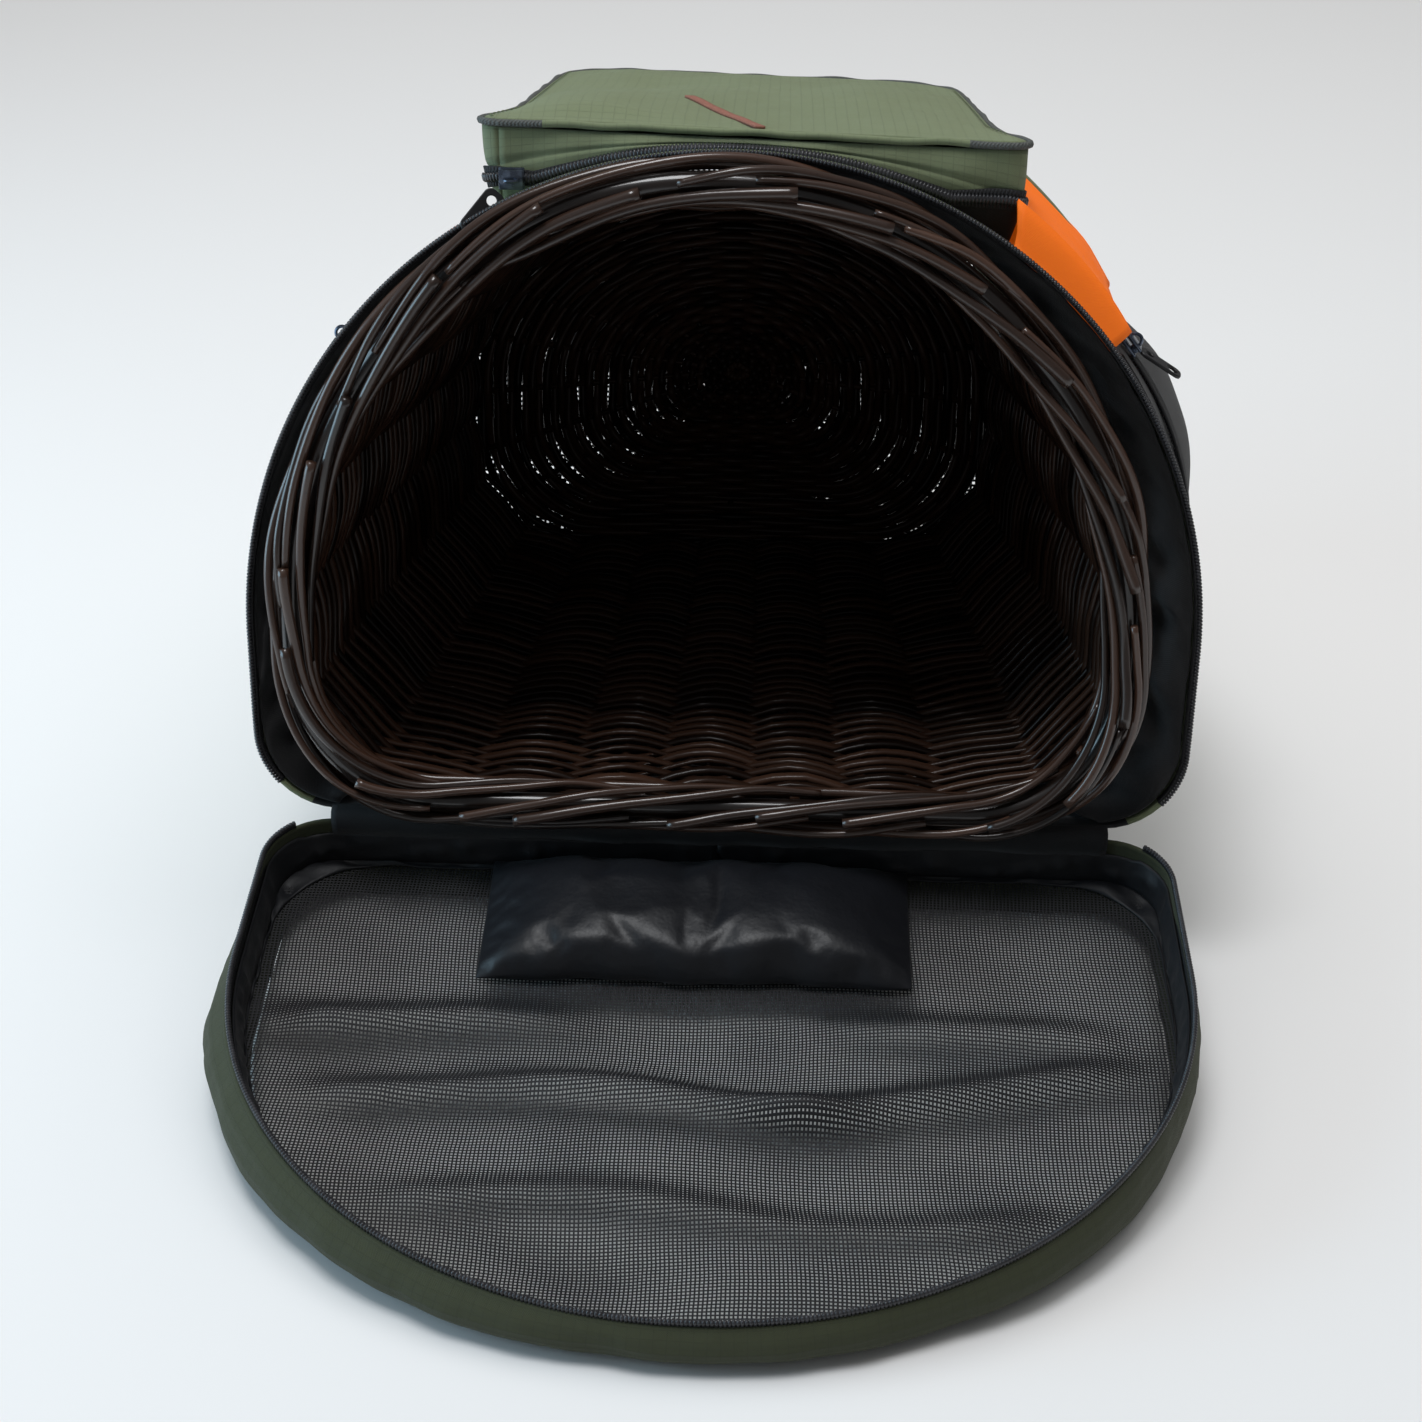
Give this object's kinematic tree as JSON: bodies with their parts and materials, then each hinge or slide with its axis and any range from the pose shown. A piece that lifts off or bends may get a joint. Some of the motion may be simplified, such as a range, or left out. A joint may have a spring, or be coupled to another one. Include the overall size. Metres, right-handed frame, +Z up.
{
  "type": "mushroom backpack",
  "caption": "Basket backpack: a wicker basket in an olive cloth bag lying on its back, its zipped lid laid open with a net and a satin pouch inside, padded straps beneath.",
  "frame": {"origin": "on the floor, under the middle of the whole as it lies open", "axes": "+Z up, +Y from the open lid towards the foot of the bag, +X to the right seen from the lid"},
  "size_m": [0.441, 0.744, 0.3806],
  "materials": {
    "olive_cloth": "matt coated ripstop",
    "orange_cloth": "matt bright cloth",
    "black_cloth": "matt cloth and tape",
    "black_satin": "shiny satin",
    "black_net": "square net",
    "willow": "dark gloss lacquer",
    "grey_piping": "satin cord",
    "brown_patch": "matt",
    "black_plastic": "moulded",
    "zip_metal": "dark satin"
  },
  "bodies": {
    "root": {"basket_wall": "willow", "basket_base": "willow", "basket_rim": "willow", "bag_shell": "olive_cloth", "front_pocket_face": "olive_cloth", "front_pocket_gusset": "olive_cloth", "front_pocket_base": "olive_cloth", "lid_wall": "olive_cloth", "lid_panel": "olive_cloth", "side_binding_right": "olive_cloth", "side_binding_left": "olive_cloth", "mouth_lining": "black_cloth", "main_zip_bag": "black_cloth", "back_pad": "black_cloth", "front_pocket_zip": "black_cloth", "side_pocket_right": "black_cloth", "side_pocket_left": "black_cloth", "side_zip_right": "black_cloth", "side_zip_left": "black_cloth", "lid_lining": "black_cloth", "main_zip_lid": "black_cloth", "hinge_strip": "black_cloth", "shoulder_strap_right": "black_cloth", "shoulder_strap_left": "black_cloth", "strap_webbing_right": "black_cloth", "strap_webbing_left": "black_cloth", "haul_loop": "black_cloth", "lid_pouch": "black_satin", "lid_mesh": "black_net", "bag_bottom": "black_net", "side_panel_right": "orange_cloth", "side_panel_left": "orange_cloth", "front_pocket_piping": "grey_piping", "front_pocket_patch": "brown_patch", "front_pocket_pull": "black_plastic", "side_right_pull": "black_plastic", "side_left_pull": "black_plastic", "ladder_lock_right": "black_plastic", "ladder_lock_left": "black_plastic", "front_pocket_slider": "zip_metal", "side_right_slider": "zip_metal", "side_left_slider": "zip_metal"}
  },
  "joints": []
}
